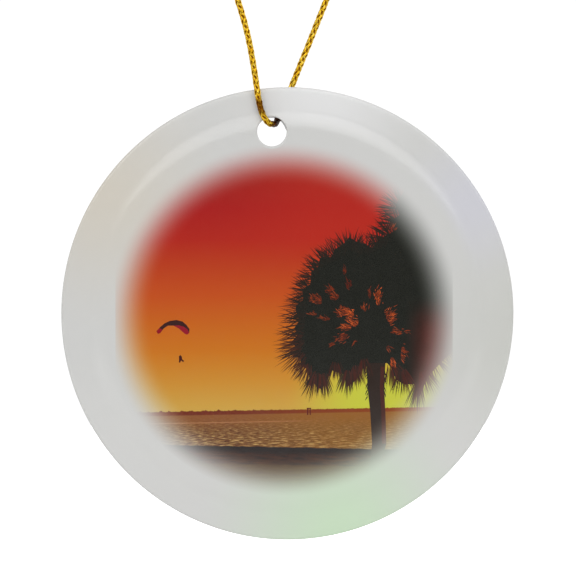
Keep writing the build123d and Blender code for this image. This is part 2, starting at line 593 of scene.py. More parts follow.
def gold_material():
    """Flat gold yarn with fine lines, painted brown shade where it dives under the others, darker over the
    hole, and painted shade in the hole.
    """
    material, nodes, shader = new_material("gold_yarn")
    place, x, y, z = place_on_disc(nodes)
    tone = nodes.noise(place, 1.9, 3.0)
    fine = nodes.noise(place, 14.0, 2.0)
    colour = nodes.ramp(tone, 0.3, 0.7, [
        (0.3, linear(232, 176, 24)),
        (0.5, linear(250, 208, 48)),
        (0.7, linear(255, 232, 104)),
    ])
    colour = nodes.mix(nodes.times(fine, 0.3), colour, linear(176, 108, 10))
    # Painted shade: the yarn turns brown where it dives under the others.
    uneven = nodes.scaled(nodes.noise(place, 4.0, 2.0), 0.4, -0.2)
    dive_shade = nodes.smooth(nodes.plus(nodes.attribute("yarn_depth"), uneven), 0.4, 0.9)
    colour = nodes.mix(nodes.times(dive_shade, 0.9), colour, linear(136, 72, 0))
    # Darker brown over the hole, and painted shade where the cord runs in the hole, where it is also made
    # less shiny.
    above_hole = nodes.smooth(nodes.apart(z, HOLE_Z + 4.0), 1.9, 0.5)
    hole_shade = nodes.times(nodes.smooth(y, -2.1, -0.9), nodes.smooth(z, HOLE_Z + 4.0, HOLE_Z + 2.2))
    hole_darkening = nodes.math("MAXIMUM", above_hole, hole_shade)
    hole_darkening = nodes.times(hole_darkening, nodes.scaled(tone, 0.5, 0.62))
    colour = nodes.mix(hole_darkening, colour, linear(108, 50, 0))
    colour = nodes.mix(nodes.times(hole_shade, 0.85), colour, linear(84, 34, 6))
    nodes.fill(shader, {
        "Base Color": colour,
        "Metallic": nodes.scaled(hole_shade, -0.9, 1.0),
        "Specular IOR Level": nodes.scaled(hole_shade, -0.4, 0.5),
        "Roughness": nodes.scaled(fine, 0.2, 0.16),
        "Normal": nodes.bump(fine, 0.25, 0.02),
    })
    return material


def core_material():
    """The dark brown yarn under the gold."""
    material, nodes, shader = new_material("cord_core")
    fibres = nodes.noise(place_on_disc(nodes)[0], 9.0, 3.0)
    colour = nodes.ramp(fibres, 0.3, 0.7, [(0.3, linear(118, 58, 0)), (0.7, linear(160, 92, 4))])
    nodes.fill(shader, {"Base Color": colour, "Roughness": 0.8, "Specular IOR Level": 0.1})
    return material


cord_line, (end_one, knot_one, loop_one, loop_two, knot_two, end_two) = whole_cord()
cord_materials = [gold_material(), core_material()]
cord_strands = braid_parts(cord_line, 7)
hanging_cord = braid_piece("gold_cord_loop", cord_strands, [(loop_one, loop_two)], cord_materials)
cord_knot = braid_piece(
    "gold_cord_knot", cord_strands, [(knot_one, loop_one), (loop_two, knot_two)], cord_materials
)
cord_tails = braid_piece(
    "gold_cord_tails", cord_strands, [(end_one, knot_one), (knot_two, end_two)],
    cord_materials, cut_ends=(end_one, end_two),
)
for piece, node in (
    (hanging_cord, "hanging_cord"), (cord_knot, "cord_knot"), (cord_tails, "cord_tails"),
):
    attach(piece, "cord")
    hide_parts(node)


# ================================================================ porcelain disc

def front_height(radius):
    """How far the front lies behind its flat middle, at a distance from the disc's middle."""
    step = np.clip((radius - PLATEAU_RADIUS) / SHOULDER_WIDTH, 0, 1)
    shoulder = SHOULDER_DROP * np.where(step < 0.5, 2 * step ** 2, 1 - 2 * (1 - step) ** 2)
    foot = PLATEAU_RADIUS + SHOULDER_WIDTH
    band = BAND_FALL * np.clip((radius - foot) / (DISC_RADIUS - foot), 0, 1)
    return shoulder + band


def from_hole(x, z):
    return np.hypot(x - HOLE_X, z - HOLE_Z)


def lip_depth(x, z):
    """How far the hole's rounded lip lies below the face round it."""
    inward = np.clip(HOLE_RADIUS + LIP_RADIUS - from_hole(x, z), 0, LIP_RADIUS)
    return LIP_RADIUS - np.sqrt(LIP_RADIUS ** 2 - inward ** 2)


def front_y(x, z):
    return FRONT + front_height(np.hypot(x, z)) + lip_depth(x, z)


def back_y(x, z):
    return BACK - lip_depth(x, z)


def ring(radius, count, centre=(0.0, 0.0)):
    """Points (x, z) round a circle."""
    turn = np.linspace(0, 2 * math.pi, count, endpoint=False)
    return np.stack([centre[0] + radius * np.cos(turn), centre[1] + radius * np.sin(turn)], axis=1)


def stood_up(flat, y):
    """Points in space from flat ones (x, z) and their depths y."""
    return np.stack([flat[:, 0], np.broadcast_to(y, len(flat)), flat[:, 1]], axis=1)


def closed_edges(count, first=0):
    return [(first + index, first + (index + 1) % count) for index in range(count)]


def triangulated(points, edges, faces=()):
    """Triangles over flat points that keep the given edges and faces, and the faces each lies in."""
    vectors = [Vector(point) for point in np.asarray(points).tolist()]
    flat, _, triangles, _, _, inside = delaunay_2d_cdt(vectors, edges, list(faces), 0, 1e-6)
    flat = np.array([tuple(point) for point in flat])
    middles = np.array([flat[list(triangle)].mean(axis=0) for triangle in triangles])
    return flat, triangles, middles, inside


HOLE_SEGMENTS = 96
RIM_SEGMENTS = 320
LIP_STEPS = (0.01, 0.03, 0.06, 0.1, 0.15, 0.2, 0.35, 0.7, 1.4, 2.4)
RING_GAP = 0.3  # between the rings round the hole and those round the disc's middle
FLAT_RING_POINTS, FLAT_RING_STEP = 180, 3.0
STEP_RING_POINTS, STEP_RING_STEP = 240, 0.22
FRONT_JOIN = DISC_RADIUS - FRONT_EDGE_RADIUS - 0.4
BACK_JOIN = DISC_RADIUS - BACK_EDGE_RADIUS


def pierced_face(rings, outer_radius, height):
    """A face of the disc out to a radius, with the hole left open, as points and triangles."""
    hole = (HOLE_X, HOLE_Z)
    loops = [ring(outer_radius, RIM_SEGMENTS), ring(HOLE_RADIUS, HOLE_SEGMENTS, hole)]
    loops += [ring(HOLE_RADIUS + step, HOLE_SEGMENTS, hole) for step in LIP_STEPS]
    for radius, count in rings:
        points = ring(radius, count)
        loops.append(points[from_hole(*points.T) > HOLE_RADIUS + LIP_STEPS[-1] + RING_GAP])
    edges = closed_edges(RIM_SEGMENTS) + closed_edges(HOLE_SEGMENTS, RIM_SEGMENTS)
    flat, faces, middles, _ = triangulated(np.concatenate(loops), edges)
    kept = from_hole(*middles.T) > HOLE_RADIUS * math.cos(math.pi / HOLE_SEGMENTS)
    return stood_up(flat, height(*flat.T)), [tuple(face) for face, keep in zip(faces, kept) if keep]


def banded(rings):
    """The points of rings that all have the same count, and the quads between them."""
    return np.concatenate(rings), ring_faces(len(rings), len(rings[0]))


def arc(centre_radius, centre_y, radius, start, end, steps):
    """(Distance from the middle, y) along an arc of the rim's outline, from angles in degrees."""
    turns = np.radians(np.linspace(start, end, steps))
    return [(centre_radius + radius * math.cos(turn), centre_y + radius * math.sin(turn)) for turn in turns]


def rim_band():
    """The disc's rounded edge, from the front face to the back face."""
    edge_middle = DISC_RADIUS - FRONT_EDGE_RADIUS
    tilt = math.degrees(math.atan(BAND_FALL / (DISC_RADIUS - PLATEAU_RADIUS - SHOULDER_WIDTH)))
    edge_y = FRONT + float(front_height(edge_middle)) + FRONT_EDGE_RADIUS
    profile = [(FRONT_JOIN, FRONT + float(front_height(FRONT_JOIN)))]
    profile += arc(edge_middle, edge_y, FRONT_EDGE_RADIUS, tilt - 90, 0, 12)
    profile += arc(BACK_JOIN, BACK - BACK_EDGE_RADIUS, BACK_EDGE_RADIUS, 0, 90, 10)
    return banded([stood_up(ring(radius, RIM_SEGMENTS), y) for radius, y in profile])


def hole_wall():
    flat = ring(HOLE_RADIUS, HOLE_SEGMENTS, (HOLE_X, HOLE_Z))
    front, back = front_y(*flat.T), back_y(*flat.T)
    return banded([stood_up(flat, (1 - share) * front + share * back) for share in np.linspace(0, 1, 6)])


def mesh_from_parts(name, parts, materials):
    """One mesh object from parts of points and faces, placed at the disc."""
    points, faces, count = [], [], 0
    for part_points, part_faces in parts:
        points.append(part_points)
        faces += [tuple(index + count for index in face) for face in part_faces]
        count += len(part_points)
    return mesh_from(name, np.concatenate(points) + [0, 0, DISC_Z], faces, materials)


def weld(piece):
    """Joins the parts' borders where they meet, and turns every face outwards."""
    body = bmesh.new()
    body.from_mesh(piece.data)
    bmesh.ops.remove_doubles(body, verts=body.verts, dist=0.001 * MM)
    bmesh.ops.recalc_face_normals(body, faces=body.faces)
    body.to_mesh(piece.data)
    body.free()


def true_normals(mesh):
    """Gives the points on the disc's front the exact normals of its shape."""
    count = len(mesh.vertices)
    places = np.empty(count * 3)
    mesh.vertices.foreach_get("co", places)
    places = places.reshape(-1, 3) / MM - [0, 0, DISC_Z]
    normals = np.array([tuple(item.vector) for item in mesh.vertex_normals])
    x, y, z = places.T
    in_front = (np.abs(y - front_y(x, z)) < 0.001) & (np.hypot(x, z) < FRONT_JOIN - 0.1)
    in_front &= from_hole(x, z) > HOLE_RADIUS + LIP_RADIUS + 0.05
    reach = 0.02
    slope_x = (front_y(x + reach, z) - front_y(x - reach, z)) / (2 * reach)
    slope_z = (front_y(x, z + reach) - front_y(x, z - reach)) / (2 * reach)
    exact = -unit(np.stack([-slope_x, np.ones(count), -slope_z], axis=1))
    normals[in_front] = exact[in_front]
    mesh.normals_split_custom_set_from_vertices(normals.tolist())


def flat_rings(radius):
    """Rings (radius, count) for a flat middle of a radius."""
    return [(inner, FLAT_RING_POINTS) for inner in np.arange(2, radius - 1, FLAT_RING_STEP)]


def make_disc(material):
    """The porcelain disc: two pierced faces, the rounded rim and the wall of the hole."""
    step_radii = np.arange(PLATEAU_RADIUS - 0.3, FRONT_JOIN, STEP_RING_STEP)
    front_rings = flat_rings(PLATEAU_RADIUS) + [(radius, STEP_RING_POINTS) for radius in step_radii]
    parts = [
        pierced_face(front_rings, FRONT_JOIN, front_y),
        pierced_face(flat_rings(BACK_JOIN), BACK_JOIN, back_y),
        rim_band(),
        hole_wall(),
    ]
    piece = mesh_from_parts("porcelain", parts, [material])
    weld(piece)
    true_normals(piece.data)
    return piece


# ================================================================ colours of the glaze and the picture

def from_point(nodes, x, z, point_x, point_z):
    """Distance from a point on the disc's face."""
    squares = [
        nodes.math("POWER", nodes.minus(value, place), 2) for value, place in ((x, point_x), (z, point_z))
    ]
    return nodes.math("SQRT", nodes.plus(*squares))


GLAZE = (207, 207, 205)
# Faint soft tints on the glaze's front, and a painted highlight near its top: colour, place of its middle
# in millimetres, how far it reaches, and the distance from the disc's middle inside which it is not seen.
FRONT_TINTS_AND_HIGHLIGHT = [
    ((200, 201, 195), (42, -6), 26, 0),
    ((209, 203, 191), (-31, 20), 24, 0),
    ((197, 221, 190), (9, -36), 25, 0),
    ((206, 206, 213), (30, 18), 14, 29),
    # Painted highlight: the glaze paler near the top, standing in for the light above mirrored there.
    ((226, 226, 226), (6, 37), 19, 29.5),
]
TINT_EDGE = 3.0


def glaze_colour(nodes, x, y, z, place):
    """White glaze; its front has faint soft tints and a painted highlight near the top, the same on the
    porcelain and round the picture.
    """
    radius = from_point(nodes, x, z, 0, 0)
    front = nodes.smooth(y, BACK, 0)
    colour = linear(*GLAZE)
    for tint, (tint_x, tint_z), reach, inner in FRONT_TINTS_AND_HIGHLIGHT:
        share = nodes.smooth(from_point(nodes, x, z, tint_x, tint_z), reach, 0)
        share = nodes.times(share, front)
        if inner:
            share = nodes.times(share, nodes.smooth(radius, inner, inner + TINT_EDGE))
        colour = nodes.mix(share, colour, linear(*tint))
    mottle = nodes.noise(place, 0.16, 2.0)
    return nodes.mix(nodes.times(mottle, 0.10), colour, linear(196, 198, 196))


def glazed(nodes, shader, place, colour):
    """A fired glaze: glossy, with faint smears, and slightly uneven."""
    height = nodes.plus(nodes.noise(place, 0.35, 1.0), nodes.times(nodes.noise(place, 3.2, 2.0), 0.06))
    nodes.fill(shader, {
        "Base Color": colour,
        "Roughness": nodes.scaled(nodes.noise(place, 0.5, 3.0), 0.06, 0.11),
        "IOR": 1.5,
        "Normal": nodes.bump(height, 1.0, 0.012),
    })


def porcelain_material():
    material, nodes, shader = new_material("glazed_porcelain")
    place, x, y, z = place_on_disc(nodes)
    # Painted shade: the wall of the hole is darker.
    hole_shade = nodes.smooth(from_point(nodes, x, z, HOLE_X, HOLE_Z), HOLE_RADIUS + 0.03, HOLE_RADIUS)
    colour = nodes.mix(hole_shade, glaze_colour(nodes, x, y, z, place), linear(92, 90, 84))
    glazed(nodes, shader, place, colour)
    return material


# Sky colours from the shore upwards: height in millimetres above the disc's middle, and colour.
SKY = [
    (-16, (205, 165, 75)),
    (-11, (205, 143, 55)),
    (-6, (203, 119, 40)),
    (3, (196, 84, 40)),
    (12, (179, 48, 40)),
    (17, (169, 40, 40)),
    (22, (158, 42, 40)),
]
SUNSET_GLOW = (198, 200, 66)
HORIZON_Z = -15.6
HORIZON_TILT = 0.017  # rise per millimetre to the right
SHORE_Z = -21.55
SHORE_TILT = 0.022  # fall per millimetre to the right
PATH_Z = -24.4  # under it the beach is paler
# The print fades out between two distances from a point, and ends at two upright borders.
VIGNETTE_X, VIGNETTE_Z = -0.56, -0.98
VIGNETTE_FULL, VIGNETTE_END = 21.5, 28.7
PRINT_LEFT, PRINT_RIGHT = -27.8, 26.55
PRINT_EDGE = 0.1


def sky_colour(nodes, x, z):
    low, high = SKY[0][0], SKY[-1][0]
    sky = nodes.ramp(z, low, high, [(height, inked(*colour)) for height, colour in SKY])
    glow = nodes.times(nodes.smooth(x, -1, 12), nodes.smooth(z, -3.5, -13.5))
    sky = nodes.mix(glow, sky, inked(*SUNSET_GLOW))
    lift = nodes.times(nodes.smooth(x, -16, 8), nodes.smooth(z, 4, 14))
    return nodes.mix(nodes.times(lift, 0.5), sky, inked(192, 54, 42))


def water_colour(nodes, x, z):
    """Rippled water: long dark and light dashes that grow towards the shore."""
    nearness = nodes.minus(HORIZON_Z, z)
    spread = nodes.plus(nearness, 1.6)
    across = nodes.math("DIVIDE", x, nodes.times(spread, 0.46))  # ripples shrink with distance
    deep = nodes.times(nodes.math("LOGARITHM", spread, 2.0), 17.0)
    ripples = nodes.noise(nodes.vector(across, 0.0, deep), 2.2, 3.0, 0.62)
    height = nodes.scaled(nodes.smooth(nearness, 2.5, 6.0), 0.8, 1.0)
    ripples = nodes.scaled(nodes.minus(ripples, 0.5), height, 0.51)
    water = nodes.ramp(ripples, 0.31, 0.70, [
        (0.31, inked(62, 34, 20)),
        (0.43, inked(94, 56, 33)),
        (0.51, inked(120, 78, 46)),
        (0.59, inked(144, 104, 60)),
        (0.70, inked(200, 164, 98)),
    ])
    far = nodes.smooth(nearness, 3.4, 0.6)
    water = nodes.mix(nodes.times(far, 0.85), water, inked(140, 84, 46))
    golden = nodes.smooth(x, -12, 8)
    water = nodes.mix(nodes.times(golden, 0.42), water, inked(156, 106, 24))
    streak = nodes.smooth(nodes.minus(1.0, nodes.apart(nearness, 1.75)), 0.86, 0.98)
    streak = nodes.times(streak, nodes.smooth(x, 6, -4))
    return nodes.mix(nodes.times(streak, 0.5), water, inked(190, 132, 88))


def land_colour(nodes, x, z):
    """The beach in front of the water: darkest at the water's edge, with long level streaks."""
    streaks = nodes.noise(nodes.vector(nodes.times(x, 0.12), 0.0, z), 3.0, 3.0)
    sand = nodes.ramp(streaks, 0.3, 0.7, [(0.3, inked(38, 16, 8)), (0.7, inked(70, 42, 26))])
    pale = nodes.mix(streaks, inked(52, 32, 14), inked(84, 60, 34))
    sand = nodes.mix(nodes.smooth(z, PATH_Z + 0.12, PATH_Z - 0.12), sand, pale)
    return nodes.mix(nodes.smooth(z, SHORE_Z - 1.5, SHORE_Z - 0.5), sand, inked(38, 20, 16))


def tree_line(nodes, x, along):
    """Height of the far tree tops: low woods with a few taller crowns to the left."""
    woods = nodes.times(nodes.noise(along, 1.8, 4.0, 0.75), 0.5)
    crowns = nodes.smooth(nodes.noise(along, 0.85, 3.0, 0.6), 0.48, 0.62)
    crowns = nodes.times(crowns, nodes.smooth(x, 2, -10))
    return nodes.plus(nodes.plus(woods, nodes.times(crowns, 0.2)), HORIZON_Z - 0.14)


def picture_colour(nodes, x, z, place):
    """The sunset picture without its palm and glider."""
    level = nodes.minus(z, nodes.times(x, HORIZON_TILT))
    along = nodes.vector(x, 0.0, 0.0)
    woods = nodes.mix(nodes.noise(place, 2.5, 2.0), inked(96, 36, 24), inked(128, 58, 32))
    woods = nodes.mix(nodes.smooth(x, -14, 16), woods, inked(138, 66, 30))
    in_woods = nodes.below(level, tree_line(nodes, x, along), 0.07)
    colour = nodes.mix(in_woods, sky_colour(nodes, x, level), woods)
    in_water = nodes.smooth(level, HORIZON_Z - 0.42, HORIZON_Z - 0.60)
    colour = nodes.mix(in_water, colour, water_colour(nodes, x, level))
    bank = nodes.plus(z, nodes.times(x, SHORE_TILT))
    on_land = nodes.below(bank, nodes.scaled(nodes.noise(along, 0.5, 4.0), 0.4, SHORE_Z - 0.2), 0.09)
    return nodes.mix(on_land, colour, land_colour(nodes, x, bank))


def picture_material():
    """The printed film: sunset, then the palm and glider as inks on their own faces, then the fade."""
    material, nodes, shader = new_material("printed_picture")
    place, x, y, z = place_on_disc(nodes)
    ink = nodes.attribute("ink_colour", "Color")
    warm = nodes.times(nodes.smooth(x, 18.5, 24.0), nodes.smooth(z, 3.0, -4.0))
    warm = nodes.times(warm, nodes.scaled(nodes.noise(place, 0.5, 3.0), 0.8, 0.6))
    tinted = nodes.mix(nodes.math("MINIMUM", warm, 1.0), ink, inked(86, 44, 40))
    tinted = nodes.mix(nodes.attribute("ink_plain"), tinted, ink)
    picture = nodes.mix(nodes.attribute("ink_cover"), picture_colour(nodes, x, z, place), tinted)
    grain = nodes.noise(place, 5.0, 1.0)
    picture = nodes.mix(nodes.times(grain, 0.06), picture, inked(120, 110, 100))

    shown = nodes.smooth(from_point(nodes, x, z, VIGNETTE_X, VIGNETTE_Z), VIGNETTE_END, VIGNETTE_FULL)
    for border, inwards in ((PRINT_LEFT, 1), (PRINT_RIGHT, -1)):
        reach = inwards * PRINT_EDGE
        shown = nodes.times(shown, nodes.smooth(x, border - reach, border + reach))
    colour = nodes.mix_seen(shown, glaze_colour(nodes, x, y, z, place), picture)
    glazed(nodes, shader, place, colour)
    return material


# ================================================================ picture film

PALM_INK = (40, 42, 39)
WARM_INK = (92, 42, 36)
# The palm's solid mass: corners in millimetres from the disc's middle.
PALM_MASS = [
    (1.2, 1.2), (2.4, 2.2), (2.2, 3.9), (3.5, 4.7), (3.7, 6.8), (4.8, 7.5), (5.1, 9.0), (6.9, 9.1),
    (7.5, 10.4), (8.6, 10.9), (9.8, 12.3), (11.1, 11.5), (12.4, 11.2), (13.3, 10.4), (14.3, 11.6),
    (15.8, 12.6), (16.9, 13.2), (16.8, 15.0), (17.9, 15.9), (17.2, 17.4), (18.6, 19.6), (23.0, 16.5),
    (27.0, 8.0), (28.2, 0.0),
    (27.2, -5.6), (24.8, -7.8), (22.5, -10.2), (21.2, -13.4), (20.2, -11.4), (18.7, -11.5), (17.3, -10.6),
    (16.6, -8.8), (15.9, -8.0), (12.8, -8.4), (11.9, -9.0), (10.9, -10.8), (9.4, -11.9), (8.9, -9.8),
    (7.0, -9.2), (6.4, -10.5), (5.3, -12.3), (4.3, -11.5), (3.4, -10.6), (3.1, -9.0), (2.0, -8.4),
    (1.9, -7.2), (0.7, -7.0), (1.3, -5.6), (0.5, -4.6), (1.5, -3.4), (0.9, -2.4), (1.9, -1.0), (1.2, 0.2),
]
# The part of the mass where no single blade shows.
PALM_CORE = [
    (3.0, 0.6), (3.6, 3.6), (5.2, 6.4), (7.4, 8.4), (9.9, 9.3), (12.3, 8.7), (15.0, 9.8), (17.4, 12.0),
    (18.6, 15.0), (19.8, 17.6), (23.0, 15.0), (26.5, 8.0), (27.6, 0.0), (25.0, -4.8), (21.2, -6.2),
    (17.4, -6.6), (15.9, -6.8), (12.8, -6.8), (9.0, -7.6), (5.0, -7.4), (2.8, -5.4), (2.5, -2.4),
]
# Fans of blades round the mass: x, z, direction, half spread in degrees, and length.
PALM_FANS = [
    (2.9, 0.9, 178, 40, 4.5), (3.0, 3.6, 162, 42, 3.4), (4.2, 5.9, 146, 44, 3.6),
    (5.6, 7.8, 132, 44, 3.8), (7.6, 9.0, 114, 44, 3.8), (9.8, 10.4, 96, 44, 4.0),
    (12.3, 9.8, 84, 46, 3.6), (14.4, 10.5, 106, 42, 3.7), (16.2, 12.4, 142, 42, 4.2),
    (17.4, 14.8, 146, 42, 4.0), (17.8, 17.2, 140, 46, 4.0),
    (2.7, -1.7, 184, 40, 4.9), (2.1, -4.3, 192, 40, 4.7), (2.0, -6.3, 210, 42, 4.4),
    (2.9, -8.4, 236, 34, 3.1), (4.4, -9.9, 254, 26, 4.2), (5.6, -10.0, 276, 20, 3.6),
    (7.6, -8.2, 270, 24, 2.6), (9.5, -9.6, 260, 22, 3.7), (10.8, -8.8, 276, 20, 3.5),
    (12.2, -7.6, 274, 22, 3.0), (16.8, -8.6, 284, 30, 3.9), (18.4, -9.4, 276, 30, 4.0),
    (20.9, -11.6, 264, 20, 4.3), (21.7, -9.6, 288, 32, 4.2), (23.2, -7.2, 300, 34, 4.2),
    (24.8, -5.0, 312, 34, 4.0),
]
# Stubs of old leaves on the trunk: to its left and to its right, where they start.
TRUNK_SIDES = ((-1, 12.75), (1, 15.55))
STUBS_ON_SIDE = 9
STUB_SPACING = 0.55
BLADES_IN_FAN = 34
FAN_WIDTH = 0.021  # how far the blades' roots lie to each side, for each degree of half spread
BLADE_HALF_WIDTH = 0.098
# Openings between the fronds: x, z, width, height and how brightly the sky shows through.
PALM_GAPS = [
    (4.4, 2.2, 2.0, 1.7, 0.5), (6.7, 3.9, 1.3, 1.2, 0.35), (7.5, 2.8, 1.4, 1.2, 0.45),
    (4.0, -0.1, 1.3, 0.6, 0.6), (5.9, -0.8, 1.6, 0.7, 0.5), (8.8, 0.2, 1.9, 1.8, 0.6),
    (10.1, -0.4, 1.4, 2.0, 1.0), (10.6, -1.5, 1.5, 1.2, 0.95), (9.4, -2.2, 1.9, 1.0, 0.8),
    (8.7, -3.9, 2.0, 1.3, 0.45), (7.1, -4.9, 0.8, 0.5, 0.4), (10.8, -4.5, 0.7, 0.4, 0.4),
    (9.7, 4.5, 1.0, 1.4, 0.15), (9.1, 6.8, 0.6, 1.2, 0.2), (12.3, 0.9, 0.8, 1.3, 0.6),
    (14.5, 2.5, 1.1, 2.8, 0.8), (13.1, 3.2, 0.5, 1.6, 0.3),
    (16.3, -0.5, 1.5, 2.2, 0.7), (17.3, -2.9, 1.7, 1.0, 0.6), (19.1, -2.9, 0.9, 0.6, 0.6),
    (16.1, -5.6, 0.5, 0.9, 0.5), (18.5, -6.4, 0.9, 2.0, 0.65), (16.8, -7.9, 0.9, 1.5, 0.75),
    (17.1, 13.8, 0.8, 1.0, 0.35),
]
FEWEST_SLIVERS = 5
SLIVER_DENSITY = 22  # in a square millimetre of an opening's box
PALM_HEART = (13.3, -2.8)
GAP_DARK, GAP_BRIGHT = (84, 34, 30), (240, 108, 50)
# The trunk, down its left side past the fade and up its right side.
TRUNK = [
    (12.6, -8.0), (12.75, -12.0), (13.2, -16.0), (13.5, -21.0), (13.6, -27.5),
    (15.9, -27.5), (15.8, -21.0), (15.65, -16.0), (15.45, -12.0), (15.65, -8.0),
]
# The reddish side of the trunk, towards the brightest sky.
TRUNK_WARM_SIDE = [
    (14.9, -8.6), (14.75, -12.0), (15.0, -16.0), (15.1, -21.0),
    (15.75, -21.0), (15.6, -16.0), (15.4, -12.0), (15.6, -8.6),
]


def blade(root, direction, length, droop, half_width):
    """One narrow leaf blade that bends down towards its tip, as a polygon."""
    turn = math.radians(direction)
    forward = np.array([math.cos(turn), math.sin(turn)])
    across = np.array([-forward[1], forward[0]])
    left, right = [], []
    for share, width in ((0.0, 0.55), (0.35, 1.0), (0.7, 0.62)):
        middle = np.array(root) + forward * length * share - [0, droop * share ** 2]
        left.append(middle + across * half_width * width)
        right.append(middle - across * half_width * width)
    tip = np.array(root) + forward * length - [0, droop]
    return [*left, tip, *reversed(right)]


def between(first, second, share):
    """A colour part of the way from one to another."""
    return tuple((1 - share) * low + share * high for low, high in zip(first, second))


def palm_inks():
    """The palm's silhouette as (polygon, colour, cover): its mass, its trunk and its leaf blades."""
    dice = random.Random(11)
    inks = [
        (PALM_MASS, PALM_INK, 1.0),
        (TRUNK, between(PALM_INK, WARM_INK, 0.22), 1.0),
        (TRUNK_WARM_SIDE, WARM_INK, 0.5),
    ]
    for x, z, direction, spread, length in PALM_FANS:
        out_x, out_z = math.cos(math.radians(direction)), math.sin(math.radians(direction))
        for index in range(BLADES_IN_FAN):
            share = 2 * index / (BLADES_IN_FAN - 1) - 1
            turn = direction + spread * share + dice.uniform(-3.5, 3.5)
            reach = length * (1 - 0.18 * share ** 2) * dice.uniform(0.76, 1.07)
            aside = FAN_WIDTH * spread * (share + dice.uniform(-0.6, 0.6))
            ahead = dice.uniform(-0.5, 0.3)
            root = (x + ahead * out_x - aside * out_z, z + ahead * out_z + aside * out_x)
            warmth = min(max(-z / 9, 0.1), 0.8) * dice.random() ** 0.8
            shape = blade(root, turn, reach, dice.uniform(0.1, 0.5), BLADE_HALF_WIDTH)
            inks.append((shape, between(PALM_INK, WARM_INK, warmth), dice.uniform(0.62, 0.96)))
    inks.append((PALM_CORE, PALM_INK, 1.0))
    for side, x in TRUNK_SIDES:
        for step in range(STUBS_ON_SIDE):
            root = (x + side * dice.uniform(-0.25, 0.0), TRUNK[0][1] - 1 - step * STUB_SPACING)
            shape = blade(root, 270 + side * dice.uniform(10, 40), dice.uniform(0.5, 1.1), 0.1, 0.09)
            inks.append((shape, PALM_INK, 1.0))
    return inks


def gap_inks():
    """Patches of sky between the palm's fronds, crossed by slivers that point away from its heart."""
    dice = random.Random(5)
    inks = []
    for x, z, width, height, glow in PALM_GAPS:
        patch = []
        for turn in np.linspace(0, 2 * math.pi, 9, endpoint=False):
            reach = dice.uniform(0.3, 0.62)
            patch.append((x + width * reach * math.cos(turn), z + height * reach * math.sin(turn)))
        inks.append((patch, between(GAP_DARK, GAP_BRIGHT, 0.4 * glow), 0.6))
        outward = math.degrees(math.atan2(z - PALM_HEART[1], x - PALM_HEART[0]))
        for _ in range(max(FEWEST_SLIVERS, int(width * height * SLIVER_DENSITY))):
            root = (x + dice.gauss(0, 0.26) * width, z + dice.gauss(0, 0.26) * height)
            direction = outward + dice.uniform(-30, 30)
            length, half_width = dice.uniform(0.3, 1.0), dice.uniform(0.03, 0.075)
            colour = PALM_INK
            if dice.random() < 0.52:
                colour = between(GAP_DARK, GAP_BRIGHT, glow * dice.uniform(0.35, 1.15))
            inks.append((blade(root, direction, length, 0.04, half_width), colour, 0.9))
    return inks


# A small paraglider: the corners of its wing, of the red underside at its two ends, and its rider.
WING = [
    (-21.0, -3.3), (-21.25, -2.85), (-20.6, -2.15), (-19.95, -1.6), (-19.1, -1.2), (-18.0, -1.05),
    (-17.05, -1.28), (-16.4, -1.85), (-15.92, -2.5), (-15.95, -3.15), (-16.3, -3.42), (-16.65, -3.3),
    (-17.1, -2.9), (-17.6, -2.45), (-18.5, -1.95), (-19.4, -1.97), (-20.1, -2.45), (-20.6, -3.15),
]
WING_LEFT_END = [
    (-21.0, -3.3), (-21.25, -2.85), (-20.8, -2.36), (-20.4, -2.5), (-20.25, -2.65), (-20.6, -3.15),
]
WING_RIGHT_END = [
    (-18.5, -1.95), (-17.6, -1.9), (-16.8, -2.15), (-16.2, -2.6), (-15.95, -3.15), (-16.3, -3.42),
    (-16.65, -3.3), (-17.1, -2.9), (-17.6, -2.45),
]
RIDER = [
    (-17.62, -6.9), (-17.4, -6.65), (-17.15, -6.95), (-17.1, -7.35), (-16.8, -7.6), (-16.9, -7.85),
    (-17.25, -7.55), (-17.45, -7.95), (-17.62, -7.85), (-17.6, -7.35),
]
# Two posts standing in the water, far out.
POSTS = [
    [(3.0, -16.35), (3.0, -15.2), (3.2, -15.2), (3.2, -16.35)],
    [(3.42, -16.35), (3.42, -15.25), (3.6, -15.25), (3.6, -16.35)],
    [(2.95, -15.38), (2.95, -15.2), (3.65, -15.2), (3.65, -15.38)],
]
SMALL_SHAPES = [
    (WING, (62, 40, 40)), (WING_LEFT_END, (142, 30, 42)), (WING_RIGHT_END, (146, 36, 50)),
    (RIDER, (70, 18, 12)), *[(post, (92, 34, 20)) for post in POSTS],
]

FILM_NOTCH = HOLE_RADIUS + LIP_RADIUS + 0.2
FILM_TAPER = 2.8
FILM_LIFT = 0.004  # of the film's thin edge above the glaze


def film_outline():
    """The film's outline: a circle with a bite round the hole, counter-clockwise."""
    hole_away = math.hypot(HOLE_X, HOLE_Z)
    hole_turn = math.atan2(HOLE_Z, HOLE_X)
    half = math.acos(
        (FILM_RADIUS ** 2 + hole_away ** 2 - FILM_NOTCH ** 2) / (2 * FILM_RADIUS * hole_away)
    )
    turns = np.linspace(hole_turn + half, hole_turn + 2 * math.pi - half, 360)
    rim = FILM_RADIUS * np.stack([np.cos(turns), np.sin(turns)], axis=1)
    inward = hole_turn + math.pi
    corner = math.atan2(rim[0][1] - HOLE_Z, rim[0][0] - HOLE_X) - inward
    corner = (corner + math.pi) % (2 * math.pi) - math.pi
    turns = inward + np.linspace(-corner, corner, 60)[1:-1]
    bite = np.stack([HOLE_X + FILM_NOTCH * np.cos(turns), HOLE_Z + FILM_NOTCH * np.sin(turns)], axis=1)
    return np.concatenate([rim, bite])


def from_film_edge(x, z):
    return np.minimum(FILM_RADIUS - np.hypot(x, z), from_hole(x, z) - FILM_NOTCH)


